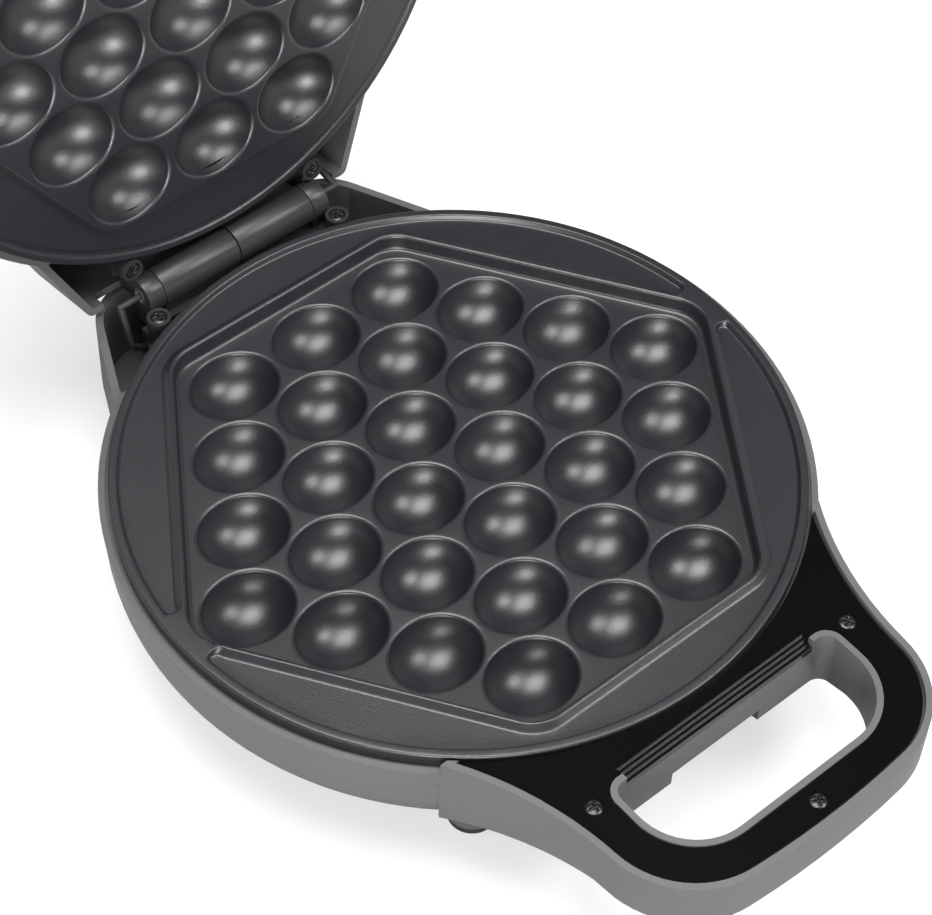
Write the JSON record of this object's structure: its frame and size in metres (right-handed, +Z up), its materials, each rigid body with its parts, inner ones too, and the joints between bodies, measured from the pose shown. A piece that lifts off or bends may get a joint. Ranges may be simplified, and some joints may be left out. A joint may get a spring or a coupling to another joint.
{
  "type": "bubble waffle maker",
  "caption": "Round electric waffle maker with two hinged plates of oval cells, slotted handles and a latch, standing open.",
  "frame": {"origin": "under the middle of the open machine's bounding box, at the level that the feet stand on", "axes": "+Z up, X along the hinge, -Y from the hinge to the lower handle"},
  "size_m": [0.2222, 0.3622, 0.3323],
  "materials": {
    "housing_plastic": "satin",
    "cover_plastic": "gloss",
    "black_plastic": "satin",
    "plate_coating": "satin",
    "black_steel": "satin",
    "bright_steel": "satin",
    "heater_steel": "matt",
    "reflector_aluminium": "satin",
    "foot_rubber": "matt",
    "wire_sleeve": "matt",
    "connector_plastic": "matt",
    "red_lens": "gloss",
    "green_lens": "gloss",
    "lamp_glass": "clear"
  },
  "bodies": {
    "base": {"lower_housing": "housing_plastic", "lower_handle_cover": "cover_plastic", "lower_cover_screws": "black_steel", "catch_ledge": "black_plastic", "lower_plate": "plate_coating", "lower_plate_screws": "bright_steel", "lower_element": "heater_steel", "lower_element_clips": "bright_steel", "lower_reflector": "reflector_aluminium", "lower_hinge_bracket": "black_plastic", "lower_hinge_screws": "black_steel", "hinge_tube": "bright_steel", "thermostat": "bright_steel", "thermal_fuse": "bright_steel", "base_connector": "connector_plastic", "base_wires": "wire_sleeve", "cord_bush": "foot_rubber", "feet": "foot_rubber"},
    "lid": {"upper_housing": "housing_plastic", "upper_handle_cover": "cover_plastic", "upper_cover_screws": "black_steel", "upper_plate": "plate_coating", "upper_plate_screws": "bright_steel", "upper_element": "heater_steel", "upper_element_clips": "bright_steel", "upper_reflector": "reflector_aluminium", "upper_hinge_bracket": "black_plastic", "upper_hinge_screws": "black_steel", "power_lens": "red_lens", "ready_lens": "green_lens", "lamps": "lamp_glass", "lid_connector": "connector_plastic", "lid_wires": "wire_sleeve", "latch_pin": "bright_steel"},
    "latch": {"latch": "black_plastic"}
  },
  "joints": [
    {"name": "lid_hinge", "type": "hinge", "parent": "base", "child": "lid", "pos_m": [0, 0.10058, 0.05525], "axis": [1, 0, 0], "range_deg": [0, 100]},
    {"name": "latch_pivot", "type": "hinge", "parent": "lid", "child": "latch", "pos_m": [0, 0.15591, 0.29559], "axis": [1, 0, 0], "range_deg": [0, 22]}
  ]
}
